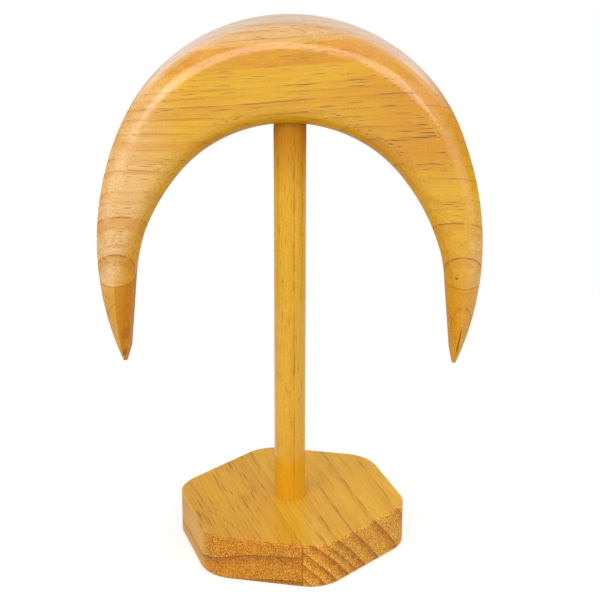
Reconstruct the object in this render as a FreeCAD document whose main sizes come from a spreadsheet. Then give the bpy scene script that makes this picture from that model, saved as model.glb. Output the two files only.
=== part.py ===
"""Milliner's hat stand in solid pine: a crescent head on a round post, over a hexagonal base.

Row frame: millimetres, +Z up, origin on the post's axis at the underside of the base.
The crescent stands in the XZ plane and is seen from the -Y side.
"""
import FreeCAD
import Part
import Sketcher
import math
import os

from FreeCAD import Placement, Rotation, Vector

DRIVING_DIMENSIONS = [
    # the crescent's outline, which is the same on both sides of the post
    ("overall_height", 273.5, "underside of the base to the crown of the head"),
    ("head_width", 189.2, "widest point of the crescent"),
    ("head_depth", 44.0, "thickness of the boards that the head is sawn from"),
    ("crown_outer_radius", 90.3, "outer edge over the crown"),
    ("flank_outer_radius", 153.3, "outer edge down to the tips"),
    ("arch_underside", 225.3, "height of the inner edge above the post"),
    ("leg_opening", 155.4, "gap between the legs where their straight inner edges start"),
    ("crown_inner_radius", 68.8, "inner edge over the post"),
    ("flank_inner_radius", 109.5, "inner edge down to the straight stretch"),
    ("leg_flare", 5.4, "degrees that the straight inner edges spread from the vertical"),
    ("tip_height", 102.9, "lowest point of the two tips"),
    ("edge_round", 12.5, "round-over on the front and back edges, and round each tip's nose"),
    ("glue_line_height", 145.0, "joint between the arch board and the tips"),
    # the post
    ("post_diameter", 16.0, "stock dowel"),
    ("post_chamfer", 0.8, "eased ends of the dowel"),
    ("socket_clearance", 0.05, "between post and sockets, on the radius"),
    ("head_socket_depth", 24.0, "blind socket in the arch, above its underside"),
    ("foot_socket_depth", 10.0, "blind socket in the base"),
    # the base
    ("base_flats", 109.0, "across two of the hexagon's three pairs of flats"),
    ("base_narrow_flats", 104.0, "across the third pair, at the front right and back left"),
    ("base_offset", 1.0, "post's axis to the hexagon's centre, which is further right"),
    ("base_thickness", 23.0, "board thickness"),
    ("base_corner_round", 20.0, "the hexagon's six corners"),
    ("base_easing", 0.8, "sanded arrises round the top and underside"),
    ("base_turn", 18.6, "degrees the base stands turned under the head"),
    ("base_glue_offset", 11.0, "post's axis to the joint between the two base boards"),
    # the countersunk wood screw under the post
    ("screw_head_diameter", 8.6, "countersunk head"),
    ("screw_diameter", 4.4, "shank, over the thread"),
    ("screw_length", 45.0, "overall"),
    ("screw_point", 5.0, "length of the point"),
    ("screw_sink", 0.5, "head below the underside"),
    ("screw_rim", 0.3, "straight rim of the head"),
    ("screw_clearance", 0.05, "round the shank"),
    ("recess_span", 4.6, "cross recess, tip to tip"),
    ("recess_width", 0.9, "cross recess, each arm"),
    ("recess_depth", 1.7, "cross recess"),
]

# Room that a form or a cutter has beyond the piece that it shapes.
SPARE = 30.0
# How far the forms of the crescent run on below its tips.
FORM_DROP = 40.0
# Two heights or depths closer than this are the same.
TOLERANCE = 0.01
FULL_TURN = 360.0
QUARTER_TURN = 90.0
# Inside angle of the hexagon's corners.
CORNER_ANGLE = 120.0

# Sketcher's numbers for the points of a curve, for the origin and for the sketch's axes.
START, END, CENTRE = 1, 2, 3
ORIGIN = (-1, 1)
HORIZONTAL_AXIS = -1
VERTICAL_AXIS = -2
SKETCH_NORMAL = Vector(0, 0, 1)

doc = FreeCAD.newDocument("hat_stand")
sheet = doc.addObject("Spreadsheet::Sheet", "Sizes")
size = {}
for row, (alias, value, note) in enumerate(DRIVING_DIMENSIONS, start=1):
    sheet.set(f"A{row}", alias)
    sheet.set(f"B{row}", str(value))
    sheet.set(f"C{row}", note)
    sheet.setAlias(f"B{row}", alias)
    size[alias] = value
doc.recompute()


def bind(target, prop, formula):
    """Bind a property to a formula in which each driving dimension is written as <alias>."""
    target.setExpression(prop, formula.replace("<", "Sizes.").replace(">", ""))


def new_body(label):
    body = doc.addObject("PartDesign::Body", label)
    body.Label = label
    return body


def new_sketch(body, name, role):
    """A sketch on one of the body's own origin planes."""
    plane = next(item for item in body.Origin.OriginFeatures if item.Role == role)
    sketch = body.newObject("Sketcher::SketchObject", name)
    sketch.AttachmentSupport = [(plane, "")]
    sketch.MapMode = "FlatFace"
    return sketch


def constrain(sketch, kind, *refs, formula=None, initial=0.0):
    """Add one constraint. One with a formula holds a size and is bound to the sheet."""
    if formula is None:
        return sketch.addConstraint(Sketcher.Constraint(kind, *refs))
    index = sketch.addConstraint(Sketcher.Constraint(kind, *refs, initial))
    bind(sketch, f"Constraints[{index}]", formula)
    return index


def add_circle(sketch, radius, formula):
    """A circle about the origin, with its radius bound to the sheet."""
    circle = sketch.addGeometry(Part.Circle(Vector(), SKETCH_NORMAL, radius), False)
    constrain(sketch, "Coincident", circle, CENTRE, *ORIGIN)
    constrain(sketch, "Radius", circle, formula=formula, initial=radius)
    return circle


def add_arc(sketch, centre, radius, start_angle, end_angle):
    circle = Part.Circle(Vector(*centre, 0), SKETCH_NORMAL, radius)
    return sketch.addGeometry(Part.ArcOfCircle(circle, start_angle, end_angle), False)


def add_line(sketch, start, end):
    return sketch.addGeometry(Part.LineSegment(Vector(*start, 0), Vector(*end, 0)), False)


def add_closed_polygon(sketch, points):
    """Join the points by lines, end to end, and return the lines' indices."""
    lines = [add_line(sketch, a, b) for a, b in zip(points, points[1:] + points[:1])]
    for line, following in zip(lines, lines[1:] + lines[:1]):
        constrain(sketch, "Coincident", line, END, following, START)
    return lines


def add_placed_polygon(sketch, corners):
    """A closed polygon of corners (x, y, x formula, y formula). No formula means on the axis."""
    lines = add_closed_polygon(sketch, [(x, y) for x, y, *formulas in corners])
    for line, (x, y, x_formula, y_formula) in zip(lines, corners):
        for kind, axis, value, formula in (("DistanceX", VERTICAL_AXIS, x, x_formula),
                                           ("DistanceY", HORIZONTAL_AXIS, y, y_formula)):
            if formula is None:
                constrain(sketch, "PointOnObject", line, START, axis)
            else:
                constrain(sketch, kind, *ORIGIN, line, START, formula=formula, initial=value)
    return lines


def pad(body, sketch, name, length_formula, midplane=False):
    feature = body.newObject("PartDesign::Pad", name)
    feature.Profile = sketch
    feature.Midplane = midplane
    bind(feature, "Length", length_formula)
    doc.recompute()
    return feature


def pocket_up(body, sketch, name, length_formula):
    """Cut the sketch's outline out of the body, upwards from the sketch."""
    feature = body.newObject("PartDesign::Pocket", name)
    feature.Profile = sketch
    feature.Reversed = True
    bind(feature, "Length", length_formula)
    doc.recompute()
    return feature


def turn(body, sketch, kind, name):
    """Turn a closed profile about the sketch's vertical axis, adding or cutting."""
    feature = body.newObject(kind, name)
    feature.Profile = sketch
    feature.ReferenceAxis = (sketch, ["V_Axis"])
    feature.Angle = FULL_TURN
    doc.recompute()
    return feature


def dress(body, base, kind, name, prop, formula, wanted):
    """Fillet or chamfer every edge of base that the test accepts, given its middle point."""
    names = []
    for index, edge in enumerate(base.Shape.Edges, start=1):
        middle = edge.valueAt(0.5 * (edge.FirstParameter + edge.LastParameter))
        if wanted(edge, middle):
            names.append(f"Edge{index}")
    feature = body.newObject(kind, name)
    feature.Base = (base, names)
    bind(feature, prop, formula)
    doc.recompute()
    return feature


def fillet(body, base, name, formula, wanted):
    return dress(body, base, "PartDesign::Fillet", name, "Radius", formula, wanted)


def is_round(edge):
    return isinstance(edge.Curve, Part.Circle)


def near(value, target):
    return abs(value - target) < TOLERANCE


# The crescent head

class CrescentEdge:
    """The outer or inner edge of the crescent: a crown arc between two tangent flank arcs."""

    def __init__(self, top, crown, flank, width, flare=0.0):
        """Width is between the points where the flanks are flare degrees off the vertical."""
        self.top, self.crown, self.flank, self.width = top, crown, flank, width
        self.crown_radius = size[crown]
        self.flank_radius = size[flank]
        self.flare = math.radians(flare)
        self.crown_z = size[top] - self.crown_radius
        self.flank_x = 0.5 * size[width] - self.flank_radius * math.cos(self.flare)
        reach = self.flank_radius - self.crown_radius
        self.flank_z = self.crown_z - math.sqrt(reach ** 2 - self.flank_x ** 2)
        self.junction = math.atan2(self.crown_z - self.flank_z, -self.flank_x)

    def draw(self, sketch, foot_angle):
        """Draw the three arcs from the right foot over to the left, and return both flanks."""
        right = add_arc(sketch, (self.flank_x, self.flank_z), self.flank_radius,
                        foot_angle, self.junction)
        over = add_arc(sketch, (0, self.crown_z), self.crown_radius,
                       self.junction, math.pi - self.junction)
        left = add_arc(sketch, (-self.flank_x, self.flank_z), self.flank_radius,
                       math.pi - self.junction, math.pi - foot_angle)
        constrain(sketch, "Tangent", right, END, over, START)
        constrain(sketch, "Tangent", over, END, left, START)
        constrain(sketch, "PointOnObject", over, CENTRE, VERTICAL_AXIS)
        constrain(sketch, "DistanceY", *ORIGIN, over, CENTRE,
                  formula=f"<{self.top}> - <{self.crown}>", initial=self.crown_z)
        constrain(sketch, "Radius", over, formula=f"<{self.crown}>", initial=self.crown_radius)
        for arc in (right, left):
            constrain(sketch, "Radius", arc, formula=f"<{self.flank}>", initial=self.flank_radius)
        return right, left


OUTER = CrescentEdge("overall_height", "crown_outer_radius", "flank_outer_radius", "head_width")
INNER = CrescentEdge("arch_underside", "crown_inner_radius", "flank_inner_radius", "leg_opening",
                     flare=size["leg_flare"])
# The forms run down past the tips to this height.
FOOT_HEIGHT = size["tip_height"] - FORM_DROP
FOOT_FORMULA = f"<tip_height> - {FORM_DROP}"


def is_slanted(edge):
    """Tell the straight inner edges of the legs from the square outline of their form."""
    direction = edge.tangentAt(edge.FirstParameter)
    return not near(direction.x, 0) and not near(direction.z, 0)


def round_over(body, base):
    """Round the front and back edges of the curved sides and the legs, as a router does."""
    half_depth = 0.5 * size["head_depth"]
    return fillet(body, base, "round_over", "<edge_round>",
                  lambda edge, middle: near(abs(middle.y), half_depth)
                  and (is_round(edge) or is_slanted(edge)))


def make_outer_form():
    """A block with the crescent's outer edge, rounded over front and back."""
    body = new_body("outer_edge_form")
    sketch = new_sketch(body, "outer_edge", "XZ_Plane")
    foot_angle = math.asin((FOOT_HEIGHT - OUTER.flank_z) / OUTER.flank_radius)
    half = OUTER.flank_x + OUTER.flank_radius * math.cos(foot_angle)
    right, left = OUTER.draw(sketch, foot_angle)
    inset = "<flank_outer_radius> - <head_width> / 2"
    constrain(sketch, "DistanceX", right, CENTRE, *ORIGIN, formula=inset, initial=-OUTER.flank_x)
    constrain(sketch, "DistanceX", *ORIGIN, left, CENTRE, formula=inset, initial=-OUTER.flank_x)
    foot = add_line(sketch, (-half, FOOT_HEIGHT), (half, FOOT_HEIGHT))
    constrain(sketch, "Coincident", left, END, foot, START)
    constrain(sketch, "Coincident", foot, END, right, START)
    constrain(sketch, "Horizontal", foot)
    constrain(sketch, "DistanceY", *ORIGIN, foot, START, formula=FOOT_FORMULA, initial=FOOT_HEIGHT)
    block = pad(body, sketch, "block", "<head_depth>", midplane=True)
    round_over(body, block)
    return body


def make_inner_form():
    """A plate with the crescent's inner edge cut up into it, rounded over front and back."""
    body = new_body("inner_edge_form")
    sketch = new_sketch(body, "inner_edge", "XZ_Plane")
    right, left = INNER.draw(sketch, INNER.flare)
    leg_x = 0.5 * size["leg_opening"]
    leg_z = INNER.flank_z + INNER.flank_radius * math.sin(INNER.flare)
    foot_x = leg_x + (leg_z - FOOT_HEIGHT) * math.tan(INNER.flare)
    side = 0.5 * size["head_width"] + SPARE
    top = size["overall_height"] + SPARE
    points = [(-leg_x, leg_z), (-foot_x, FOOT_HEIGHT), (-side, FOOT_HEIGHT), (-side, top), (side, top),
              (side, FOOT_HEIGHT), (foot_x, FOOT_HEIGHT), (leg_x, leg_z)]
    lines = [add_line(sketch, a, b) for a, b in zip(points, points[1:])]
    left_leg, left_foot, left_side, over_top, right_side, right_foot, right_leg = lines
    for line, following in zip(lines, lines[1:]):
        constrain(sketch, "Coincident", line, END, following, START)
    constrain(sketch, "Tangent", left, END, left_leg, START)
    constrain(sketch, "Tangent", right_leg, END, right, START)
    half_formula = "<leg_opening> / 2"
    constrain(sketch, "DistanceX", *ORIGIN, right, START, formula=half_formula, initial=leg_x)
    constrain(sketch, "DistanceX", left, END, *ORIGIN, formula=half_formula, initial=leg_x)
    constrain(sketch, "Angle", right_leg, formula="90 deg + <leg_flare> * 1 deg",
              initial=0.5 * math.pi + INNER.flare)
    constrain(sketch, "Angle", left_leg, formula="-90 deg - <leg_flare> * 1 deg",
              initial=-0.5 * math.pi - INNER.flare)
    for line in (left_foot, over_top, right_foot):
        constrain(sketch, "Horizontal", line)
    for line in (left_side, right_side):
        constrain(sketch, "Vertical", line)
    side_formula = f"<head_width> / 2 + {SPARE}"
    constrain(sketch, "DistanceX", left_side, START, *ORIGIN, formula=side_formula, initial=side)
    constrain(sketch, "DistanceX", *ORIGIN, right_side, START, formula=side_formula, initial=side)
    constrain(sketch, "DistanceY", *ORIGIN, over_top, START,
              formula=f"<overall_height> + {SPARE}", initial=top)
    for foot in (left_foot, right_foot):
        constrain(sketch, "DistanceY", *ORIGIN, foot, START,
                  formula=FOOT_FORMULA, initial=FOOT_HEIGHT)
    plate = pad(body, sketch, "plate", "<head_depth>", midplane=True)
    round_over(body, plate)
    return body


def make_nose_form():
    """A block that stands where the tips end, rounded front and back to round their noses."""
    body = new_body("nose_form")
    sketch = new_sketch(body, "nose_section", "YZ_Plane")
    half = 0.5 * size["head_depth"]
    low = size["tip_height"]
    top = size["overall_height"]
    half_formula = "<head_depth> / 2"
    add_placed_polygon(sketch, [
        (-half, low, f"-{half_formula}", "<tip_height>"),
        (half, low, half_formula, "<tip_height>"),
        (half, top, half_formula, "<overall_height>"),
        (-half, top, f"-{half_formula}", "<overall_height>"),
    ])
    block = pad(body, sketch, "nose_block", f"<head_width> + {2 * SPARE}", midplane=True)
    fillet(body, block, "nose_round", "<edge_round>",
           lambda edge, middle: near(middle.x, 0) and near(middle.z, low))
    return body


def combine(kind, label, base, tool):
    """A boolean of two shapes: Part::Common keeps what they share, Part::Cut takes tool away."""
    result = doc.addObject(kind, label)
    result.Label = label
    result.Base = base
    result.Tool = tool
    return result


def make_head():
    """Shape the crescent as one glued-up blank, then part it at the glue line.

    The board below the glue line ends up as two separate tips, which share one node.
    """
    crescent = combine("Part::Common", "crescent", make_outer_form(), make_inner_form())
    below = doc.addObject("Part::Box", "below_glue_line")
    bind(below, "Length", f"<head_width> + {2 * SPARE}")
    bind(below, "Width", f"<head_depth> + {2 * SPARE}")
    bind(below, "Height", "<glue_line_height>")
    bind(below, "Placement.Base.x", f"-<head_width> / 2 - {SPARE}")
    bind(below, "Placement.Base.y", f"-<head_depth> / 2 - {SPARE}")
    socket = doc.addObject("Part::Cylinder", "post_socket")
    bind(socket, "Radius", "<post_diameter> / 2 + <socket_clearance>")
    bind(socket, "Height", f"<head_socket_depth> + {SPARE}")
    bind(socket, "Placement.Base.z", f"<arch_underside> - {SPARE}")
    solid_arch = combine("Part::Cut", "solid_arch", crescent, below)
    pointed_tips = combine("Part::Common", "pointed_tips", crescent, below)
    return [
        combine("Part::Cut", "arch_board", solid_arch, socket),
        combine("Part::Common", "crescent_tips", pointed_tips, make_nose_form()),
    ]


# The post

def make_post():
    """Dowel with eased ends, standing in the base and reaching up into the arch."""
    body = new_body("post")
    foot_formula = "<base_thickness> - <foot_socket_depth>"
    sketch = new_sketch(body, "dowel_section", "XY_Plane")
    bind(sketch, "AttachmentOffset.Base.z", foot_formula)
    add_circle(sketch, 0.5 * size["post_diameter"], "<post_diameter> / 2")
    dowel = pad(body, sketch, "dowel", f"<arch_underside> + <head_socket_depth> - ({foot_formula})")
    dress(body, dowel, "PartDesign::Chamfer", "eased_ends", "Size", "<post_chamfer>",
          lambda edge, middle: is_round(edge))
    pilot = new_sketch(body, "pilot_section", "XY_Plane")
    bind(pilot, "AttachmentOffset.Base.z", foot_formula)
    add_circle(pilot, 0.5 * size["screw_diameter"] + size["screw_clearance"],
               "<screw_diameter> / 2 + <screw_clearance>")
    pocket_up(body, pilot, "pilot_hole", f"<screw_sink> + <screw_length> - ({foot_formula})")
    return body


# The base

def add_hexagon(sketch):
    """The base's outline: a hexagon with corners of 120 degrees and opposite flats parallel.

    Two flats are square to the sketch's X axis, and the narrow pair faces 120 degrees from it.
    """
    wide = size["base_flats"]
    narrow = size["base_narrow_flats"]
    slope = 4 * math.sin(math.radians(CORNER_ANGLE))
    upper_corners = [
        (wide / 2, wide / slope, "<base_flats> / 2", "<base_flats>"),
        ((wide - narrow) / 2, (wide + narrow) / slope,
         "(<base_flats> - <base_narrow_flats>) / 2", "(<base_flats> + <base_narrow_flats>)"),
        (-wide / 2, (2 * narrow - wide) / slope,
         "-<base_flats> / 2", "(2 * <base_narrow_flats> - <base_flats>)"),
    ]
    corners = []
    for sign in (1, -1):
        for x, y, x_formula, y_formula in upper_corners:
            corners.append((size["base_offset"] + sign * x, sign * y,
                            f"<base_offset> + {sign} * ({x_formula})",
                            f"{sign} * {y_formula} / (4 * sin({CORNER_ANGLE} deg))"))
    add_placed_polygon(sketch, corners)


def saw_off_other_board(body, side):
    """Cut away what lies beyond the glue line, for the board on the given side (-1 or 1)."""
    sketch = new_sketch(body, "other_board", "XY_Plane")
    glue_x = -size["base_glue_offset"]
    reach = size["base_flats"]
    far_formula = "-<base_flats>" if side > 0 else "<base_flats>"
    add_placed_polygon(sketch, [
        (glue_x, -reach, "-<base_glue_offset>", "-<base_flats>"),
        (glue_x, reach, "-<base_glue_offset>", "<base_flats>"),
        (-side * reach, reach, far_formula, "<base_flats>"),
        (-side * reach, -reach, far_formula, "-<base_flats>"),
    ])
    pocket_up(body, sketch, "sawn_off", "<base_thickness>")


def bore_for_post(body):
    """Cut the post's socket, the screw's clearance hole and its countersink in one groove."""
    sketch = new_sketch(body, "post_and_screw_bore", "XZ_Plane")
    socket = 0.5 * size["post_diameter"] + size["socket_clearance"]
    hole = 0.5 * size["screw_diameter"] + size["screw_clearance"]
    head = 0.5 * size["screw_head_diameter"]
    rim = size["screw_sink"] + size["screw_rim"]
    floor = size["base_thickness"] - size["foot_socket_depth"]
    top = size["base_thickness"]
    head_formula = "<screw_head_diameter> / 2"
    hole_formula = "<screw_diameter> / 2 + <screw_clearance>"
    socket_formula = "<post_diameter> / 2 + <socket_clearance>"
    rim_formula = "<screw_sink> + <screw_rim>"
    cone_formula = f"{rim_formula} + {head_formula} - ({hole_formula})"
    floor_formula = "<base_thickness> - <foot_socket_depth>"
    add_placed_polygon(sketch, [
        (0, 0, None, None),
        (head, 0, head_formula, None),
        (head, rim, head_formula, rim_formula),
        (hole, rim + head - hole, hole_formula, cone_formula),
        (hole, floor, hole_formula, floor_formula),
        (socket, floor, socket_formula, floor_formula),
        (socket, top, socket_formula, "<base_thickness>"),
        (0, top, None, "<base_thickness>"),
    ])
    turn(body, sketch, "PartDesign::Groove", "bored_through")


def make_base_board(label, side):
    """One of the two boards that are glued edge to edge, then sawn to a hexagon and eased."""
    body = new_body(label)
    sketch = new_sketch(body, "hexagon", "XY_Plane")
    add_hexagon(sketch)
    thickness = size["base_thickness"]
    slab = pad(body, sketch, "glued_up_slab", "<base_thickness>")
    rounded = fillet(body, slab, "round_corners", "<base_corner_round>",
                     lambda edge, middle: near(middle.z, 0.5 * thickness))
    dress(body, rounded, "PartDesign::Chamfer", "eased_rims", "Size", "<base_easing>",
          lambda edge, middle: near(middle.z, 0) or near(middle.z, thickness))
    saw_off_other_board(body, side)
    if side > 0:
        bore_for_post(body)
    body.Placement = Placement(Vector(), Rotation(SKETCH_NORMAL, size["base_turn"]))
    bind(body, "Placement.Rotation.Angle", "<base_turn> * 1 deg")
    return body


# The screw

def make_screw():
    """Countersunk wood screw, driven up through the base into the foot of the post."""
    body = new_body("base_screw")
    sketch = new_sketch(body, "screw_profile", "XZ_Plane")
    head = 0.5 * size["screw_head_diameter"]
    shank = 0.5 * size["screw_diameter"]
    sink = size["screw_sink"]
    rim = sink + size["screw_rim"]
    point = sink + size["screw_length"]
    shoulder = point - size["screw_point"]
    head_formula = "<screw_head_diameter> / 2"
    shank_formula = "<screw_diameter> / 2"
    rim_formula = "<screw_sink> + <screw_rim>"
    cone_formula = f"{rim_formula} + {head_formula} - {shank_formula}"
    point_formula = "<screw_sink> + <screw_length>"
    add_placed_polygon(sketch, [
        (0, sink, None, "<screw_sink>"),
        (head, sink, head_formula, "<screw_sink>"),
        (head, rim, head_formula, rim_formula),
        (shank, rim + head - shank, shank_formula, cone_formula),
        (shank, shoulder, shank_formula, f"{point_formula} - <screw_point>"),
        (0, point, None, point_formula),
    ])
    turn(body, sketch, "PartDesign::Revolution", "turned_blank")
    recess = new_sketch(body, "recess_arm", "XY_Plane")
    bind(recess, "AttachmentOffset.Base.z", "<screw_sink>")
    long = 0.5 * size["recess_span"]
    wide = 0.5 * size["recess_width"]
    long_formula = "<recess_span> / 2"
    wide_formula = "<recess_width> / 2"
    add_placed_polygon(recess, [
        (-long, -wide, f"-{long_formula}", f"-{wide_formula}"),
        (long, -wide, long_formula, f"-{wide_formula}"),
        (long, wide, long_formula, wide_formula),
        (-long, wide, f"-{long_formula}", wide_formula),
    ])
    arm = pocket_up(body, recess, "recess_slot", "<recess_depth>")
    cross = body.newObject("PartDesign::PolarPattern", "cross_recess")
    cross.Originals = [arm]
    cross.Axis = (recess, ["N_Axis"])
    cross.Angle = QUARTER_TURN
    cross.Occurrences = 2
    body.Tip = cross
    doc.recompute()
    return body


nodes = make_head()
nodes.append(make_post())
nodes.append(make_base_board("base_left_board", -1))
nodes.append(make_base_board("base_right_board", 1))
nodes.append(make_screw())
doc.recompute()

for item in doc.Objects:
    if "Invalid" in item.State or "Error" in item.State:
        raise RuntimeError(f"{item.Label} failed: {item.State} {item.getStatusString()}")
for node in nodes:
    pieces = 2 if node.Label == "crescent_tips" else 1
    if node.Shape.isNull() or not node.Shape.isValid() or len(node.Shape.Solids) != pieces:
        raise RuntimeError(f"{node.Label} is not {pieces} valid solid(s)")

os.makedirs("parts", exist_ok=True)
for node in nodes:
    node.Shape.exportStep(os.path.join("parts", node.Label + ".step"))
    box = node.Shape.optimalBoundingBox()
    print(f"{node.Label:18s} {node.Shape.Volume / 1000:8.2f} cm3  "
          f"x {box.XMin:7.2f} {box.XMax:7.2f}  y {box.YMin:7.2f} {box.YMax:7.2f}  "
          f"z {box.ZMin:7.2f} {box.ZMax:7.2f}")
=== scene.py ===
"""Studio scene of the pine hat stand: its wood and steel, the lights, the floor and the camera.

Everything stands in the part's own frame, in metres: +Z up, the origin on the post's axis at the
underside of the base, the crescent across X and the viewer towards -Y. The grain of the wood is
worked out in space, so that growth rings, streaks and end grain run on round every corner. Places
and lengths in the materials are in millimetres.
"""
import math

import bpy
from mathutils import Euler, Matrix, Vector


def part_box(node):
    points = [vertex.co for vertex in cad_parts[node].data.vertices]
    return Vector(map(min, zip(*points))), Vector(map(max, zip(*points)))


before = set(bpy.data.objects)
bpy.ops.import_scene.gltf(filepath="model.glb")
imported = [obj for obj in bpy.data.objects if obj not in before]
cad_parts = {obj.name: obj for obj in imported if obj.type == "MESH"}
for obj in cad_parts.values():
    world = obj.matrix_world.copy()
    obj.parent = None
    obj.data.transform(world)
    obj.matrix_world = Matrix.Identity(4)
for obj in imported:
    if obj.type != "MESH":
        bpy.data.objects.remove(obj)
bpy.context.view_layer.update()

MM_PER_M = 1000.0
# Height of the joint between the arch board and the tips.
GLUE_LINE = MM_PER_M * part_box("crescent_tips")[1].z
# The router's round-over on the crescent's edges, and how far from mid-depth it ends.
ROUND_OVER = 12.5
ROUND_OVER_END = MM_PER_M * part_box("arch_board")[1].y - ROUND_OVER
# Height of the middle of the crescent's bow.
CRESCENT_MIDDLE = 170.0
# How far the base stands turned under the head.
BASE_TURN = math.radians(18.6)
# Where the joint between the base's boards lies, across the base.
BASE_SEAM = -11.0

# Colours, linear red, green, blue and alpha.
EARLY_GOLD = (0.70, 0.375, 0.009, 1.0)
# Painted light: a pale gold painted on the crescent's outer faces and left leg, as if lit.
PAINTED_LIGHT_GOLD = (0.75, 0.46, 0.190, 1.0)
# Pinkish grey on the top of the crown: partly the wood's own tone, partly a painted reflection of
# the white backdrop.
PINK_WOOD_AND_SHEEN = (0.66, 0.40, 0.160, 1.0)
BASE_LEFT_GOLD = (0.69, 0.350, 0.020, 1.0)
BASE_RIGHT_GOLD = (0.74, 0.405, 0.030, 1.0)
TIP_GOLD = (0.68, 0.31, 0.008, 1.0)
# Painted shade: the deeper orange on the left tip's inner half and inner faces.
TIP_SHADE_ORANGE = (0.58, 0.225, 0.006, 1.0)
LATE_ORANGE = (0.60, 0.235, 0.006, 1.0)
LATE_BROWN = (0.46, 0.17, 0.010, 1.0)
RING_BROWN = (0.30, 0.105, 0.012, 1.0)
RESIN_BROWN = (0.07, 0.022, 0.004, 1.0)
ZINC_GREY = (0.62, 0.62, 0.60, 1.0)
ZINC_YELLOW = (0.70, 0.67, 0.55, 1.0)
WHITE = (1.0, 1.0, 1.0, 1.0)

# The base's end grain is its side grain's colour times these: less red and more blue.
END_TINT_LEFT = (0.84, 0.69, 1.35, 1.0)
END_TINT_RIGHT = (0.96, 0.86, 1.7, 1.0)

# Patterns of the wood: how long their features are on the grain, how wide they are, and an offset
# that keeps one pattern from lying on another.
FIBRES = (16.0, 0.45, 0.0)
SPECKLES = (0.9, 0.5, 7.0)
VEINS = (50.0, 1.2, 31.0)
DRIFTS = (150.0, 6.0, 3.0)
WORN_PATCHES = (18.0, 2.5, 21.0)
CANAL_CROWDS = (90.0, 14.0, 11.0)
CANAL_OFFSET = 5.0

# What the patterns do: their noise's low and high values, and what these two become.
FIBRE_SHADE = (0.25, 0.75, 0.82, 1.13)
SPECKLE_SHADE = (0.3, 0.7, -1.0, 1.0)
VEIN_SHARE = (0.5, 0.7, 0.0, 0.6)
DRIFT_SHARE = (0.48, 0.72, 0.0, 0.5)
RINGS_KEPT = (0.45, 0.57, 0.05, 1.0)
CANAL_WIDTHS = (0.35, 0.65, 0.25, 1.0)
NOISE_MIDDLE = 0.5

# Late wood ends this far beyond a growth ring's outer radius.
LATE_END = 0.3
# The ring's dark line begins this far inside that radius, is full this far to both sides of it and
# ends this far beyond it.
LINE_BEGIN = 0.55
LINE_FULL = 0.1
LINE_END = 0.4
LINE_STRENGTH = 0.9
# How much late wood still shows where the rings are worn.
WORN_LATE_WOOD = 0.6
# A ring takes four stops of a ramp, which holds 32 at most.
RINGS_PER_RAMP = 7

# A drawn line is at full strength up to this share of its reach.
LINE_CORE = 0.4
# Spots and canals come in between these shares of their half axes.
SPOT_SKIN = (1.1, 0.75)
CANAL_SKIN = (1.0, 0.6)
# How far canals fade as a face turns to look along the grain.
CUT_CANALS = (0.1, 0.5, 1.0, 0.25)

# How deep the speckle is on side grain.
SIDE_SPECKLE = 0.10
# On side grain and on end grain: the bare wood's roughness and how much of the lacquer stays.
WOOD_ROUGHNESS = (0.5, 0.62)
LACQUER_KEPT = (1.0, 0.5)
LACQUER_IOR = 1.55
# The surface's relief: its depth in metres, how much of it shows, and what makes it.
RELIEF_DEPTH = 0.00015
RELIEF_STRENGTH = 0.3
FIBRE_RELIEF = 0.5
SPECKLE_RELIEF = 0.25


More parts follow.
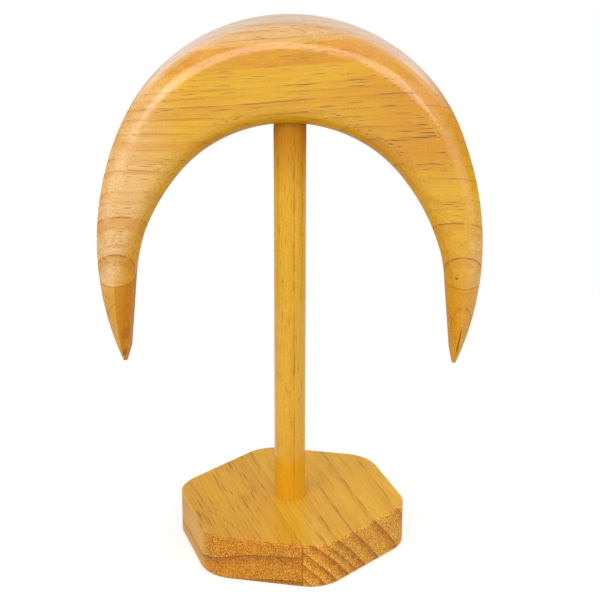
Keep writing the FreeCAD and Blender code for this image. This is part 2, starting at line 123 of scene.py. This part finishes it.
class Graph:
    """The nodes of one material or world, written as expressions."""

    def __init__(self, owner):
        self.owner = owner
        owner.use_nodes = True
        self.tree = owner.node_tree
        self.tree.nodes.clear()

    def add(self, kind, **settings):
        node = self.tree.nodes.new(kind)
        for key, value in settings.items():
            setattr(node, key, value)
        return node

    def feed(self, socket, value):
        if isinstance(value, bpy.types.NodeSocket):
            self.tree.links.new(value, socket)
        else:
            socket.default_value = value

    def feed_all(self, node, values):
        """Feed the node's first inputs and return its outputs."""
        for socket, value in zip(node.inputs, values):
            self.feed(socket, value)
        return node.outputs

    def math(self, operation, *values, clamp=False):
        node = self.add("ShaderNodeMath", operation=operation, use_clamp=clamp)
        return self.feed_all(node, values)["Value"]

    def total(self, *values):
        result = values[0]
        for value in values[1:]:
            result = self.math("ADD", result, value)
        return result

    def product(self, *values):
        result = values[0]
        for value in values[1:]:
            result = self.math("MULTIPLY", result, value)
        return result

    def inverse(self, value):
        return self.math("SUBTRACT", 1.0, value)

    def vector(self, x, y, z):
        return self.feed_all(self.add("ShaderNodeCombineXYZ"), (x, y, z))["Vector"]

    def vector_math(self, operation, *values):
        """Outputs of a sum with vectors: one is named Vector and the other Value."""
        return self.feed_all(self.add("ShaderNodeVectorMath", operation=operation), values)

    def span(self, value, low, high, first=0.0, last=1.0, shape="LINEAR"):
        """Map low..high to first..last, clamped."""
        node = self.add("ShaderNodeMapRange", interpolation_type=shape, clamp=True)
        for name, number in (("Value", value), ("From Min", low), ("From Max", high),
                             ("To Min", first), ("To Max", last)):
            self.feed(node.inputs[name], number)
        return node.outputs["Result"]

    def near(self, value, target, reach):
        """1 where the value is the target, falling to 0 at a distance of reach."""
        gap = self.math("ABSOLUTE", self.math("SUBTRACT", value, target))
        return self.span(gap, LINE_CORE * reach, reach, 1.0, 0.0, "SMOOTHSTEP")

    def noise(self, place, detail=2.0, roughness=0.5):
        node = self.add("ShaderNodeTexNoise", noise_dimensions="3D")
        self.feed(node.inputs["Vector"], place)
        node.inputs["Scale"].default_value = 1.0
        node.inputs["Detail"].default_value = detail
        node.inputs["Roughness"].default_value = roughness
        return node.outputs["Fac"]

    def ramp(self, value, stops):
        """A grey value that runs straight from each (position, level) stop to the next."""
        node = self.add("ShaderNodeValToRGB")
        elements = node.color_ramp.elements
        while len(elements) > 1:
            elements.remove(elements[-1])
        for index, (position, level) in enumerate(stops):
            element = elements[0] if index == 0 else elements.new(position)
            element.position = position
            element.color = (level, level, level, 1.0)
        self.feed(node.inputs["Fac"], value)
        return node.outputs["Color"]

    def peaks(self, value, peaks):
        """The sum of separate peaks, each a list of (place, level) points that rises from 0."""
        ramps = []
        for at in range(0, len(peaks), RINGS_PER_RAMP):
            points = [point for peak in peaks[at:at + RINGS_PER_RAMP] for point in peak]
            first = points[0][0]
            last = points[-1][0]
            stops = [((place - first) / (last - first), level) for place, level in points]
            ramps.append(self.ramp(self.span(value, first, last), stops))
        return self.total(*ramps)

    def mix(self, amount, first, second, blend="MIX"):
        """The first colour where the amount is 0 and the second, or their blend, where it is 1."""
        node = self.add("ShaderNodeMix", data_type="RGBA", blend_type=blend)
        colours = [socket for socket in node.inputs if socket.type == "RGBA"]
        self.feed(node.inputs["Factor"], amount)
        self.feed(colours[0], first)
        self.feed(colours[1], second)
        return next(socket for socket in node.outputs if socket.type == "RGBA")

    def choose(self, amount, first, second):
        """The first shader where the amount is 0 and the second where it is 1."""
        node = self.add("ShaderNodeMixShader")
        return self.feed_all(node, (amount, first, second))["Shader"]

    def backdrop_rays(self):
        """1 for rays that see the studio itself: the camera's, and those off gloss or in glass."""
        rays = self.add("ShaderNodeLightPath").outputs
        reflected = self.math("MAXIMUM", rays["Is Glossy Ray"], rays["Is Transmission Ray"])
        return self.math("MAXIMUM", rays["Is Camera Ray"], reflected)

    def finished(self, shader, output="ShaderNodeOutputMaterial"):
        """Make the shader the surface, and return the material or world."""
        self.feed(self.add(output).inputs["Surface"], shader)
        return self.owner


class Solid(Graph):
    """A material that fills its piece, in the space of (along, across, up) in millimetres."""

    def __init__(self, name, axes, turn=0.0):
        """Axes names which of X, Y and Z run along, across and up, in a space turned about Z."""
        super().__init__(bpy.data.materials.new(name))
        self.place, parts = self.turned("Object", turn, 1.0 / MM_PER_M)
        self.x, self.y, self.z = parts
        self.along, self.across, self.up = (parts["XYZ".index(axis)] for axis in axes)

    def turned(self, coordinate, turn, unit=1.0):
        """The object's coordinate or normal in the turned space, as a vector and in parts."""
        node = self.add("ShaderNodeMapping", vector_type="TEXTURE")
        node.inputs["Rotation"].default_value = (0.0, 0.0, turn)
        node.inputs["Scale"].default_value = [unit] * 3
        self.feed(node.inputs["Vector"], self.add("ShaderNodeTexCoord").outputs[coordinate])
        vector = node.outputs["Vector"]
        return vector, self.feed_all(self.add("ShaderNodeSeparateXYZ"), [vector])

    def stretched(self, length, width, offset=0.0):
        """A place for noise whose features are length long on the grain and width wide."""
        return self.vector(
            self.math("DIVIDE", self.along, length),
            self.math("MULTIPLY_ADD", self.across, 1.0 / width, offset),
            self.math("DIVIDE", self.up, width))


class Wood(Solid):
    """Pine of one board, with its grain along the first of its axes."""

    def __init__(self, name, axes, turn=0.0, end_from=0.6, end_to=0.95):
        """End grain comes in where a face looks along the grain by end_from to end_to."""
        super().__init__(name, axes, turn)
        self.facing, parts = self.turned("Normal", turn)
        self.end_facing = self.math("ABSOLUTE", parts["XYZ".index(axes[0])])
        self.end_grain = self.span(self.end_facing, end_from, end_to, shape="SMOOTHSTEP")

    def side_to_end(self, side, end):
        """One value on side grain and another on end grain."""
        return self.span(self.end_grain, 0.0, 1.0, side, end)

    def outward(self):
        """How far a face of the crescent looks away from its middle, from -1 to 1."""
        from_middle = self.vector(self.x, 0.0, self.math("SUBTRACT", self.z, CRESCENT_MIDDLE))
        away = self.vector_math("NORMALIZE", from_middle)["Vector"]
        return self.vector_math("DOT_PRODUCT", away, self.facing)["Value"]

    def wander(self, amount, length=70.0, width=26.0):
        """Bend the grain up and down a little, so that rings and streaks run on together."""
        wave = self.noise(self.stretched(length, width), detail=1.0)
        wave = self.math("SUBTRACT", wave, NOISE_MIDDLE)
        self.up = self.math("MULTIPLY_ADD", wave, amount, self.up)

    def log_radius(self, pith_across, pith_up):
        """Distance from the log's pith."""
        across = self.math("SUBTRACT", self.across, pith_across)
        up = self.math("SUBTRACT", self.up, pith_up)
        return self.math("SQRT", self.total(self.product(across, across), self.product(up, up)))

    def canal_mask(self, length, width, density):
        """Short resin canals along the grain, of many lengths, thinner and thicker in crowds."""
        cell = density ** (-1.0 / 3.0)
        node = self.add("ShaderNodeTexVoronoi", feature="F1", voronoi_dimensions="3D")
        place = self.stretched(length * cell, width * cell, CANAL_OFFSET)
        self.feed(node.inputs["Vector"], place)
        node.inputs["Scale"].default_value = 1.0
        widths = self.span(self.noise(self.stretched(*CANAL_CROWDS)), *CANAL_WIDTHS)
        half_width = self.product(widths, 0.5 / cell)
        return self.span(self.math("DIVIDE", node.outputs["Distance"], half_width), *CANAL_SKIN)

    def spot(self, centre, half_axes):
        """1 inside an ellipsoid, falling off softly at its skin."""
        offset = self.vector_math("SUBTRACT", self.place, centre)["Vector"]
        scaled = self.vector_math("DIVIDE", offset, half_axes)["Vector"]
        distance = self.vector_math("LENGTH", scaled)["Value"]
        return self.span(distance, *SPOT_SKIN, shape="SMOOTHSTEP")

    def ring_masks(self, radius, rings):
        """How much late wood and how much dark line there is at a distance from the pith.

        Late wood darkens outwards over its fade and ends sharply at the ring's outer radius, where
        the dark line runs.
        """
        late_wood = []
        lines = []
        for outer, width, fade, share, line in rings:
            late_wood.append([(outer - width, 0.0), (outer - width + fade, share),
                              (outer, share), (outer + LATE_END, 0.0)])
            lines.append([(outer - LINE_BEGIN, 0.0), (outer - LINE_FULL, line),
                          (outer + LINE_FULL, line), (outer + LINE_END, 0.0)])
        return self.peaks(radius, late_wood), self.peaks(radius, lines)

    def grain(self, radius, rings, early, late, vein_colour=LATE_ORANGE, end_tint=WHITE,
              end_speckle=0.36, rings_shown=1.0):
        """Colour of the wood, from its rings and the colours of its early and late wood.

        A ring is its outer radius, late wood's width, its fade and its share, and the strength of
        its dark line. Rings fade in worn patches, their dark lines on side grain only.
        """
        late_wood, line = self.ring_masks(radius, rings)
        kept = self.span(self.noise(self.stretched(*WORN_PATCHES), detail=3.0), *RINGS_KEPT)
        late_kept = self.span(kept, 0.0, 1.0, WORN_LATE_WOOD, 1.0)
        late_wood = self.product(late_wood, late_kept, rings_shown)
        line = self.product(line, self.math("MAXIMUM", kept, self.end_grain), LINE_STRENGTH)
        drift = self.noise(self.stretched(*DRIFTS), detail=3.0, roughness=0.6)
        vein = self.noise(self.stretched(*VEINS), detail=3.0, roughness=0.6)
        colour = self.mix(late_wood, early, late)
        colour = self.mix(self.span(drift, *DRIFT_SHARE), colour, vein_colour)
        colour = self.mix(self.span(vein, *VEIN_SHARE), colour, vein_colour)
        colour = self.mix(line, colour, RING_BROWN)
        self.fibre = self.noise(self.stretched(*FIBRES), detail=3.0, roughness=0.7)
        self.speckle = self.noise(self.stretched(*SPECKLES), detail=1.0)
        speckle_shade = self.product(self.span(self.speckle, *SPECKLE_SHADE),
                                     self.side_to_end(SIDE_SPECKLE, end_speckle))
        shade = self.total(self.span(self.fibre, *FIBRE_SHADE), speckle_shade)
        colour = self.mix(self.end_grain, colour, end_tint, blend="MULTIPLY")
        return self.mix(1.0, colour, shade, blend="MULTIPLY")

    def draw_canals(self, colour, strength, length=14.0, width=0.5, density=0.12):
        """Resin canals over the colour, fainter where they are cut across."""
        self.canals = self.product(self.canal_mask(length, width, density), strength,
                                   self.span(self.end_facing, *CUT_CANALS),
                                   self.inverse(self.end_grain))
        return self.mix(self.canals, colour, RESIN_BROWN)

    def lacquered(self, colour, coat=1.0, coat_roughness=0.14, bare=0.0):
        """Clear lacquer over the wood, thinner on end grain, and none of it where bare is 1."""
        shader = self.add("ShaderNodeBsdfPrincipled")
        self.feed(shader.inputs["Base Color"], colour)
        self.feed(shader.inputs["Roughness"], self.side_to_end(*WOOD_ROUGHNESS))
        shader.inputs["Specular IOR Level"].default_value = 0.0
        lacquer = self.side_to_end(*(coat * share for share in LACQUER_KEPT))
        self.feed(shader.inputs["Coat Weight"], self.product(lacquer, self.inverse(bare)))
        shader.inputs["Coat Roughness"].default_value = coat_roughness
        shader.inputs["Coat IOR"].default_value = LACQUER_IOR
        height = self.total(self.product(self.fibre, FIBRE_RELIEF),
                            self.product(self.speckle, SPECKLE_RELIEF))
        bump = self.add("ShaderNodeBump")
        bump.inputs["Strength"].default_value = RELIEF_STRENGTH
        bump.inputs["Distance"].default_value = RELIEF_DEPTH
        self.feed(bump.inputs["Height"], self.math("SUBTRACT", height, self.canals))
        self.feed(shader.inputs["Normal"], bump.outputs["Normal"])
        self.feed(shader.inputs["Coat Normal"], bump.outputs["Normal"])
        return self.finished(shader.outputs["BSDF"])


# The crescent's boards

# Across and up from the origin: the log's pith lay in front of the crescent, level with the tips.
HEAD_PITH = (-70.0, 98.0)

# Rings: outer radius, late wood's width, its fade, its share, strength of the dark line.
TIP_RINGS = [
    (62.2, 2.0, 1.5, 0.30, 0.60),
    (80.2, 4.6, 1.5, 0.55, 0.90),
]
LEG_RINGS = [
    (80.2, 4.6, 1.5, 0.80, 1.00),
    (84.0, 0.8, 0.5, 0.10, 0.30),
    (95.0, 5.6, 0.8, 0.55, 0.95),
    (101.4, 1.2, 0.8, 0.10, 0.30),
    (106.2, 2.4, 1.5, 0.25, 0.45),
    (115.6, 3.0, 2.0, 0.30, 0.55),
    (121.6, 2.6, 2.0, 0.35, 0.55),
    (130.6, 4.5, 3.0, 0.45, 0.35),
    (135.0, 1.8, 1.5, 0.25, 0.30),
]
CROWN_RINGS = [
    (139.4, 1.6, 1.2, 0.35, 0.40),
    (143.0, 2.0, 1.5, 0.45, 0.60),
    (148.6, 2.2, 1.8, 0.45, 0.95),
    (152.4, 1.6, 1.3, 0.30, 0.35),
    (155.8, 1.6, 1.3, 0.30, 0.30),
    (174.4, 10.4, 0.5, 0.85, 0.10),
    (177.6, 1.4, 1.0, 0.40, 0.25),
    (181.6, 2.2, 1.5, 0.45, 0.40),
    (186.2, 2.4, 1.5, 0.50, 0.45),
    (191.4, 2.4, 1.5, 0.50, 0.45),
    (196.6, 2.4, 1.5, 0.50, 0.45),
]

# How steeply the grain climbs to the right, the heights between which each slope comes in, and how
# far from the middle the slopes level out.
LEG_SLOPE = -0.024
LEG_SLOPE_HEIGHTS = (158.0, 185.0)
CROWN_SLOPE = 0.112
CROWN_SLOPE_HEIGHTS = (208.0, 232.0)
SLOPE_REACH = 60.0

# From here on, a change of colour, of painted light and shade or of lacquer starts at a pair's
# first value and is full at its second.
# Faces, from 1 for one that looks straight out of the crescent to -1 for one that looks inwards.
OUTER_FACES = (0.2, 0.9)
OUTER_SIDES = (0.5, 0.8)
OUTERMOST_FACES = (0.6, 0.95)
INNER_FACES = (-0.2, -0.8)
INNERMOST_FACES = (-0.3, -0.9)
TIP_INNER_HALF = (0.15, -0.35)
# Heights.
BELOW_CROWN = (250.0, 230.0)
BELOW_SHOULDERS = (195.0, 160.0)
BELOW_ARCH = (180.0, 145.0)
ABOVE_TIPS = (138.0, 150.0)
ABOVE_LEGS = (195.0, 212.0)
# Distances to the left and right of the post's axis.
LEFT_LEG = (-50.0, -74.0)
LEFT_TIP = (-40.0, -75.0)
RIGHT_SHOULDER = (15.0, 55.0)
RIGHT_LEG = (40.0, 60.0)
# Distance from the pith, beyond the broad ring of the crown.
BEYOND_BROAD_RING = (174.5, 176.5)

# Half widths of the glue line and of the fine line where the round-over ends.
GLUE_LINE_REACH = 0.45
ROUND_OVER_LINE_REACH = 0.4

# Marks: centre and half axes.
LEG_RESIN = ((81.5, -19.5, 150.3), (0.8, 2.0, 0.8))
TIP_PATCH = ((-81.0, -15.0, 118.6), (3.2, 6.0, 3.4))
TIP_KNOT = ((-82.0, -15.0, 108.6), (1.3, 3.0, 1.8))
# How much of the patch shows from fibre to fibre.
PATCH_FIBRES = (0.35, 0.65, 0.25, 0.5)
# The crack in the right tip: its middle across and up, its half width and half height, and how far
# it leans to the right for each millimetre up.
CRACK_ACROSS = 84.0
CRACK_UP = 117.0
CRACK_HALF_WIDTH = 0.5
CRACK_HALF_HEIGHT = 9.0
CRACK_LEAN = 0.135


def climb(wood):
    """The grain of the crown climbs to the right and that of the upper legs falls a little."""
    slope = wood.total(wood.span(wood.z, *LEG_SLOPE_HEIGHTS, last=LEG_SLOPE),
                       wood.span(wood.z, *CROWN_SLOPE_HEIGHTS, last=CROWN_SLOPE))
    shift = wood.math("TANH", wood.math("DIVIDE", wood.x, SLOPE_REACH))
    shift = wood.product(shift, SLOPE_REACH)
    wood.up = wood.math("SUBTRACT", wood.up, wood.product(slope, shift))


def paint_light_and_shade(wood, early, shade_colour, light_strength=1.0):
    """Painted light and shade: a pale painted sheen on the crescent's outer faces and the left leg
    but not its innermost faces, and painted shade on the inner faces low in the arch.
    """
    outward = wood.outward()
    # Painted light: the left leg and the outer faces below the shoulders are painted paler, though
    # not the innermost faces.
    left_leg_light = wood.product(wood.span(wood.x, *LEFT_LEG, last=0.8),
                            wood.span(wood.z, *ABOVE_TIPS))
    outer_face_light = wood.product(wood.span(outward, *OUTER_FACES, last=0.9),
                        wood.span(wood.z, *BELOW_SHOULDERS))
    painted_light_mask = wood.math("ADD", outer_face_light, left_leg_light, clamp=True)
    painted_light_mask = wood.product(painted_light_mask, wood.span(outward, *INNERMOST_FACES, 1.0, 0.0), light_strength)
    # Painted shade: inner faces are painted deeper, most of all low in the arch.
    painted_shade_mask = wood.product(wood.span(outward, *INNER_FACES, last=0.7),
                          wood.span(wood.z, *BELOW_ARCH, first=0.15))
    return wood.mix(painted_shade_mask, wood.mix(painted_light_mask, early, PAINTED_LIGHT_GOLD), shade_colour)


def worn_lacquer(wood):
    """The lacquer is thin inside the arch and rubbed on the outer sides."""
    outward = wood.outward()
    sides = wood.product(wood.span(outward, *OUTER_SIDES, last=0.85),
                         wood.span(wood.z, *BELOW_CROWN))
    return wood.math("MAXIMUM", wood.span(outward, *INNER_FACES, last=0.7), sides)


def draw_head_lines(wood, colour):
    """The glue line, and a fine dark line where the round-over ends."""
    glue = wood.near(wood.z, GLUE_LINE, GLUE_LINE_REACH)
    round_over_line = wood.near(wood.math("ABSOLUTE", wood.y), ROUND_OVER_END, ROUND_OVER_LINE_REACH)
    colour = wood.mix(wood.product(glue, 0.6), colour, RING_BROWN)
    return wood.mix(wood.product(round_over_line, 0.2), colour, RING_BROWN)


def arch_board():
    """Rings cross the legs, a broad one lies near the top of the crown, and canals are many."""
    wood = Wood("pine_arch_board", "XYZ")
    climb(wood)
    wood.wander(2.2)
    radius = wood.log_radius(*HEAD_PITH)
    # Painted shade: the right shoulder is painted darker orange, partly the wood's own orange and
    # partly shade over its light.
    right_shoulder_shade = wood.product(wood.span(wood.x, *RIGHT_SHOULDER, last=0.7),
                                  wood.span(wood.z, *ABOVE_LEGS))
    # Painted light and shade on the early wood, with the tips' gold as the shade's colour.
    early = wood.mix(right_shoulder_shade, paint_light_and_shade(wood, EARLY_GOLD, TIP_GOLD), LATE_ORANGE)
    # The top of the crown, beyond the broad ring, is painted pinkish grey: partly the wood's tone,
    # partly a painted reflection of the white backdrop.
    early = wood.mix(wood.span(radius, *BEYOND_BROAD_RING, last=0.9), early, PINK_WOOD_AND_SHEEN)
    colour = wood.grain(radius, LEG_RINGS + CROWN_RINGS, early, LATE_ORANGE,
                        rings_shown=wood.span(wood.x, *RIGHT_LEG, 1.0, 0.5))
    colour = wood.draw_canals(colour, 1.0, width=0.42, density=0.24)
    colour = wood.mix(wood.product(wood.spot(*LEG_RESIN), 0.7), colour, RESIN_BROWN)
    return wood.lacquered(draw_head_lines(wood, colour), bare=worn_lacquer(wood))


def crescent_tips():
    """More orange wood, with painted light and shade, the left tip's inner half painted deeper
    orange as shade, a dark patch and a knot on the left and a crack on the right.
    """
    wood = Wood("pine_tips", "XYZ")
    wood.wander(1.5)
    radius = wood.log_radius(*HEAD_PITH)
    outward = wood.outward()
    left_tip = wood.span(wood.x, *LEFT_TIP)
    # Painted shade: the left tip's inner half is painted deeper orange.
    inner_half_shade = wood.product(left_tip, wood.span(outward, *TIP_INNER_HALF, first=0.15))
    # Painted light on the tips is weak, strongest on the outermost faces; painted shade is deeper
    # orange on the left tip.
    early = paint_light_and_shade(wood, wood.mix(inner_half_shade, TIP_GOLD, TIP_SHADE_ORANGE),
                      wood.mix(left_tip, TIP_GOLD, TIP_SHADE_ORANGE),
                      wood.span(outward, *OUTERMOST_FACES, 0.3, 0.85))
    colour = wood.grain(radius, TIP_RINGS, early, LATE_ORANGE)
    colour = wood.draw_canals(colour, 0.5)
    patch = wood.product(wood.spot(*TIP_PATCH), wood.span(wood.fibre, *PATCH_FIBRES))
    colour = wood.mix(patch, colour, RING_BROWN)
    colour = wood.mix(wood.product(wood.spot(*TIP_KNOT), 0.75), colour, RING_BROWN)
    above_middle = wood.math("SUBTRACT", wood.z, CRACK_UP)
    across = wood.math("MULTIPLY_ADD", above_middle, -CRACK_LEAN, wood.x)
    crack = wood.product(wood.near(across, CRACK_ACROSS, CRACK_HALF_WIDTH),
                         wood.near(wood.z, CRACK_UP, CRACK_HALF_HEIGHT), 0.7)
    colour = wood.mix(crack, colour, RESIN_BROWN)
    return wood.lacquered(draw_head_lines(wood, colour), coat=0.6, bare=worn_lacquer(wood))


# The post

# The grain runs up, and the log's pith lay to the left and a little behind.
POST_PITH = (-60.0, 14.0)
POST_RINGS = [
    (56.5, 2.5, 2.0, 0.10, 0.10),
    (61.5, 2.0, 1.5, 0.10, 0.05),
    (66.0, 4.2, 3.5, 0.35, 0.70),
    (70.5, 2.5, 2.0, 0.20, 0.20),
]
# Heights of the painted shadow under the head, where the lacquer is also thin, and of the painted
# shade at the foot.
UNDER_HEAD = (188.0, 216.0)
POST_FOOT = (70.0, 35.0)


def post():
    """A dowel of straight grain, with a painted brown shadow and little lacquer under the head, and
    painted orange shade at its foot.
    """
    wood = Wood("pine_post", "ZXY")
    wood.wander(1.0, length=160.0, width=10.0)
    radius = wood.log_radius(*POST_PITH)
    colour = wood.grain(radius, POST_RINGS, EARLY_GOLD, LATE_ORANGE, vein_colour=TIP_GOLD)
    head_shadow_and_bare = wood.span(wood.z, *UNDER_HEAD, last=0.8)
    # Painted shadow: the post's top is painted browner under the head.
    colour = wood.mix(head_shadow_and_bare, colour, LATE_BROWN)
    # Painted shade: the post's foot is painted more orange, as if lit by the base.
    colour = wood.mix(wood.span(wood.z, *POST_FOOT, last=0.45), colour, LATE_ORANGE)
    colour = wood.draw_canals(colour, 0.6, length=7.0, width=0.4)
    return wood.lacquered(colour, coat=0.7, bare=head_shadow_and_bare)


# The base

# End grain shows on every edge of the base that isn't cut along the grain.
BASE_END_GRAIN = {"end_from": 0.15, "end_to": 0.45}
BASE_END_SPECKLE = 0.65
# The base's lacquer is thinner and duller than the head's.
BASE_LACQUER = {"coat": 0.4, "coat_roughness": 0.26}
BASE_SEAM_REACH = 0.45

# The left board's pith lay below it, and the right board's below and far to the left.
LEFT_PITH = (-17.0, -74.0)
LEFT_RINGS = [
    (76.5, 5.0, 3.5, 0.60, 1.00),
    (90.0, 5.5, 4.5, 0.60, 1.00),
    (104.0, 4.5, 3.0, 0.20, 0.40),
]
RIGHT_PITH = (-114.0, -97.5)
RIGHT_RINGS = [
    (140.0, 3.6, 2.4, 0.90, 0.60),
    (145.4, 3.0, 2.2, 0.80, 0.50),
    (150.8, 3.6, 2.4, 1.00, 0.70),
    (156.0, 3.6, 2.4, 1.00, 0.80),
    (162.1, 4.2, 3.0, 1.00, 0.80),
    (166.1, 2.4, 1.5, 0.70, 0.70),
    (171.0, 3.6, 2.4, 0.90, 0.90),
    (178.3, 4.0, 2.8, 0.90, 0.80),
    (189.6, 4.6, 3.2, 0.90, 0.80),
    (201.8, 4.6, 3.2, 0.80, 0.70),
]


def draw_base_seam(wood, colour):
    """The joint between the two boards, plainest on their ends."""
    seam = wood.near(wood.x, BASE_SEAM, BASE_SEAM_REACH)
    return wood.mix(wood.product(seam, wood.side_to_end(0.35, 0.8)), colour, RING_BROWN)


def base_left_board():
    """Flat-sawn, with its rings arched over the pith and long resin canals on top."""
    wood = Wood("pine_base_left", "YXZ", BASE_TURN, **BASE_END_GRAIN)
    wood.wander(2.5, length=60.0, width=20.0)
    radius = wood.log_radius(*LEFT_PITH)
    colour = wood.grain(radius, LEFT_RINGS, BASE_LEFT_GOLD, RING_BROWN, end_tint=END_TINT_LEFT,
                        end_speckle=BASE_END_SPECKLE)
    colour = wood.draw_canals(colour, 1.0, length=20.0, width=0.40, density=0.26)
    return wood.lacquered(draw_base_seam(wood, colour), **BASE_LACQUER)


def base_right_board():
    """Sawn at a slant to its rings, which show on the ends and as fine lines along the top."""
    wood = Wood("pine_base_right", "YXZ", BASE_TURN, **BASE_END_GRAIN)
    wood.wander(1.2, length=90.0, width=20.0)
    radius = wood.log_radius(*RIGHT_PITH)
    colour = wood.grain(radius, RIGHT_RINGS, BASE_RIGHT_GOLD, LATE_BROWN, end_tint=END_TINT_RIGHT,
                        end_speckle=BASE_END_SPECKLE, rings_shown=wood.side_to_end(0.22, 1.0))
    colour = wood.draw_canals(colour, 0.5)
    return wood.lacquered(draw_base_seam(wood, colour), **BASE_LACQUER)


# The screw

# Clouds of colour in the plating and the marks of turning: length along the screw and width.
PLATING_CLOUDS = (2.0, 2.0)
TURNING_MARKS = (0.12, 6.0)
# Their noise's low and high values, and for the marks the roughness that these become.
CLOUD_TINT = (0.35, 0.65)
MARK_ROUGHNESS = (0.3, 0.7, 0.25, 0.38)


def zinc_steel():
    """Bright zinc plating with faint passivation colours and fine turning marks."""
    steel = Solid("zinc_steel", "ZXY")
    tint = steel.span(steel.noise(steel.stretched(*PLATING_CLOUDS)), *CLOUD_TINT)
    roughness = steel.span(steel.noise(steel.stretched(*TURNING_MARKS)), *MARK_ROUGHNESS)
    shader = steel.add("ShaderNodeBsdfPrincipled")
    steel.feed(shader.inputs["Base Color"], steel.mix(tint, ZINC_GREY, ZINC_YELLOW))
    shader.inputs["Metallic"].default_value = 1.0
    steel.feed(shader.inputs["Roughness"], roughness)
    return steel.finished(shader.outputs["BSDF"])


FINISHES = {
    "arch_board": arch_board,
    "crescent_tips": crescent_tips,
    "post": post,
    "base_left_board": base_left_board,
    "base_right_board": base_right_board,
    "base_screw": zinc_steel,
}
for node_name, make_finish in FINISHES.items():
    cad_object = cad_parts[node_name]
    cad_object.data.materials.clear()
    cad_object.data.materials.append(make_finish())


# The studio

# Light that reaches the object from all round, where 1 is white.
AMBIENT = 0.06
FLOOR_SIZE = 12.0
# The floor's paint for the light that it throws back on the object.
FLOOR_BOUNCE = 0.45
# To the camera the floor round the base is this much glow and this much paint, so that its shadow
# stays faint, and it turns into plain white between the two distances from the post.
FLOOR_GLOW = 0.62
FLOOR_PAINT = 0.45
SHADOW_END = (0.18, 0.45)

# What the lamps are aimed at, about halfway up the stand.
LAMP_TARGET = (0.0, 0.0, 0.15)
# Azimuth and elevation in degrees, distance, width and height in metres, and brightness.
SOFTBOXES = {
    "left_softbox": (-68.0, 8.0, 1.3, 1.8, 1.1, 1.3),
    "front_left_softbox": (-22.0, 26.0, 1.7, 2.0, 0.86, 3.5),
    "front_right_softbox": (31.0, 25.0, 1.7, 0.9, 0.84, 3.2),
    "right_softbox": (78.0, 12.0, 1.3, 2.2, 1.3, 1.15),
    "back_left_softbox": (-135.0, 25.0, 1.6, 1.3, 1.6, 1.1),
    "back_right_softbox": (135.0, 25.0, 1.6, 1.3, 1.6, 1.1),
    "top_softbox": (0.0, 88.0, 1.5, 2.4, 2.0, 0.72),
}

# The camera, fitted to the photograph: the picture's width and the lens in pixels, the sensor's
# width in millimetres and the camera's place in metres.
PHOTO_PIXELS = 600
FOCAL_PIXELS = 1645.0
SENSOR_WIDTH = 36.0
CAMERA_PLACE = (0.0154, -0.7757, 0.4163)
# In radians: how far it looks down, how far to the right, and how far it is rolled.
CAMERA_PITCH = 0.3519
CAMERA_HEADING = -0.0133
CAMERA_ROLL = 0.0026


def softbox(name, azimuth, elevation, distance, width, height, brightness):
    """A soft lamp, aimed at the stand, whose face is brightness times as bright as white.

    Azimuth 0 is in front of the stand, and positive is to the right.
    """
    light = bpy.data.lights.new(name, "AREA")
    light.shape = "RECTANGLE"
    light.size = width
    light.size_y = height
    light.energy = brightness * math.pi * width * height
    lamp = bpy.data.objects.new(name, light)
    bpy.context.scene.collection.objects.link(lamp)
    azimuth = math.radians(azimuth)
    elevation = math.radians(elevation)
    out = Vector((math.sin(azimuth) * math.cos(elevation),
                  -math.cos(azimuth) * math.cos(elevation),
                  math.sin(elevation)))
    lamp.location = Vector(LAMP_TARGET) + distance * out
    lamp.rotation_euler = (-out).to_track_quat("-Z", "Y").to_euler()


def make_world():
    """White to the camera and in reflections, and a plain soft light on the object."""
    world = Graph(bpy.data.worlds.new("studio"))
    backgrounds = []
    for strength in (AMBIENT, 1.0):
        background = world.add("ShaderNodeBackground")
        background.inputs["Color"].default_value = WHITE
        background.inputs["Strength"].default_value = strength
        backgrounds.append(background.outputs["Background"])
    surface = world.choose(world.backdrop_rays(), *backgrounds)
    bpy.context.scene.world = world.finished(surface, "ShaderNodeOutputWorld")


def grey_paint(graph, level):
    diffuse = graph.add("ShaderNodeBsdfDiffuse")
    diffuse.inputs["Color"].default_value = (level, level, level, 1.0)
    return diffuse.outputs["BSDF"]


def white_glow(graph, strength):
    emission = graph.add("ShaderNodeEmission")
    emission.inputs["Strength"].default_value = strength
    return emission.outputs["Emission"]


def make_floor():
    """A white floor that keeps a faint shadow."""
    bpy.ops.mesh.primitive_plane_add(size=FLOOR_SIZE)
    floor = bpy.context.object
    floor.name = "studio_floor"
    paint = Graph(bpy.data.materials.new("studio_white"))
    both = (grey_paint(paint, FLOOR_PAINT), white_glow(paint, FLOOR_GLOW))
    shadowed = paint.feed_all(paint.add("ShaderNodeAddShader"), both)["Shader"]
    place = paint.add("ShaderNodeTexCoord").outputs["Object"]
    from_post = paint.span(paint.vector_math("LENGTH", place)["Value"], *SHADOW_END)
    seen = paint.choose(from_post, shadowed, white_glow(paint, 1.0))
    surface = paint.choose(paint.backdrop_rays(), grey_paint(paint, FLOOR_BOUNCE), seen)
    floor.data.materials.append(paint.finished(surface))


def make_camera():
    """The photograph's view: a long lens, a little above the head and looking down."""
    data = bpy.data.cameras.new("camera")
    data.sensor_width = SENSOR_WIDTH
    data.lens = FOCAL_PIXELS / PHOTO_PIXELS * SENSOR_WIDTH
    camera = bpy.data.objects.new("camera", data)
    bpy.context.scene.collection.objects.link(camera)
    camera.location = CAMERA_PLACE
    tilt = Euler((0.5 * math.pi - CAMERA_PITCH, 0.0, -CAMERA_HEADING), "XYZ").to_matrix()
    roll = Euler((0.0, 0.0, CAMERA_ROLL), "XYZ").to_matrix()
    camera.rotation_euler = (tilt @ roll).to_euler()
    bpy.context.scene.camera = camera


make_world()
make_floor()
make_camera()
for lamp_name, lamp_values in SOFTBOXES.items():
    softbox(lamp_name, *lamp_values)
bpy.context.scene.view_settings.view_transform = "Standard"
